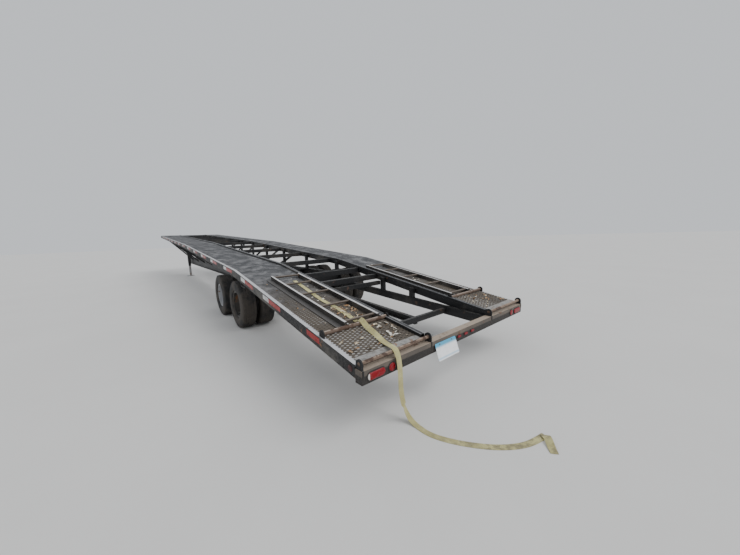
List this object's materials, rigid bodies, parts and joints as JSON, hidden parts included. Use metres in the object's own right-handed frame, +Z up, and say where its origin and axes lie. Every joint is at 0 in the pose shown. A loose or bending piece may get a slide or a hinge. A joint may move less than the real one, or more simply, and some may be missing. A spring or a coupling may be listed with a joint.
{
  "type": "two-track car transporter trailer",
  "caption": "Gooseneck car transporter trailer with two sloped mesh tracks, dual tandem wheels, stowed ladder ramps and drop legs.",
  "frame": {"origin": "on the ground below the middle of the trailer's length and width", "axes": "+X forward to the nose, +Y to the left, +Z up"},
  "size_m": [16.9597, 2.6, 1.808],
  "materials": {
    "rail_paint": "worn dusty black paint",
    "frame_paint": "worn black paint",
    "beam_paint": "faded paint rubbed to grey and rust",
    "rusty_steel": "brown rust",
    "deck_mesh": "worn expanded metal",
    "coupler_steel": "black paint",
    "leg_steel": "dull zinc",
    "spring_steel": "dirty black",
    "ramp_paint": "black paint worn bright on the edges",
    "red_lens": "clear red plastic",
    "plate_metal": "blank white plate",
    "webbing": "woven strap",
    "tyre": "worn rubber",
    "black_rim": "black steel wheel",
    "silver_rim": "silver steel wheel"
  },
  "bodies": {
    "frame": {"outer_rail_left": "rail_paint", "outer_rail_right": "rail_paint", "inner_rails": "frame_paint", "rear_beam": "beam_paint", "rear_bars": "rusty_steel", "nose_beam": "frame_paint", "track_members": "frame_paint", "centre_members": "frame_paint", "deck_left": "deck_mesh", "deck_right": "deck_mesh", "main_beams": "frame_paint", "rear_chords": "frame_paint", "lower_members": "frame_paint", "lower_braces": "frame_paint", "posts": "frame_paint", "outriggers": "frame_paint", "neck": "frame_paint", "coupler_beam": "frame_paint", "coupler": "coupler_steel", "jack_tubes": "frame_paint", "jack_legs": "leg_steel", "springs": "spring_steel", "hangers": "frame_paint", "equalisers": "frame_paint", "ramp_bars": "rusty_steel", "lamps": "red_lens", "markers": "red_lens", "plate": "plate_metal", "loops": "frame_paint", "strap_run": "webbing", "strap_tail": "webbing", "axle_rear": "frame_paint", "axle_front": "frame_paint"},
    "wheel_rear_left": {"tyres_rear_left": "tyre", "wheel_rear_left": "black_rim"},
    "wheel_rear_right": {"tyres_rear_right": "tyre", "wheel_rear_right": "black_rim"},
    "wheel_front_left": {"tyres_front_left": "tyre", "wheel_front_left": "silver_rim"},
    "wheel_front_right": {"tyres_front_right": "tyre", "wheel_front_right": "silver_rim"},
    "ramp_left": {"ramp_left": "ramp_paint"},
    "ramp_right": {"ramp_right": "ramp_paint"}
  },
  "joints": [
    {"name": "spin_rear_left", "type": "hinge", "parent": "frame", "child": "wheel_rear_left", "pos_m": [-4.57426, 0.9545, 0.391], "axis": [0, 1, 0], "continuous": true},
    {"name": "spin_rear_right", "type": "hinge", "parent": "frame", "child": "wheel_rear_right", "pos_m": [-4.57426, -0.9545, 0.391], "axis": [0, 1, 0], "continuous": true},
    {"name": "spin_front_left", "type": "hinge", "parent": "frame", "child": "wheel_front_left", "pos_m": [-3.45426, 0.9545, 0.391], "axis": [0, 1, 0], "continuous": true},
    {"name": "spin_front_right", "type": "hinge", "parent": "frame", "child": "wheel_front_right", "pos_m": [-3.45426, -0.9545, 0.391], "axis": [0, 1, 0], "continuous": true},
    {"name": "lift_left_ramp", "type": "hinge", "parent": "frame", "child": "ramp_left", "pos_m": [-7.47926, 0.821, 0.64284], "axis": [0, -1, 0], "range_deg": [0, 95]},
    {"name": "lift_right_ramp", "type": "hinge", "parent": "frame", "child": "ramp_right", "pos_m": [-7.47926, -0.821, 0.64284], "axis": [0, -1, 0], "range_deg": [0, 95]}
  ]
}
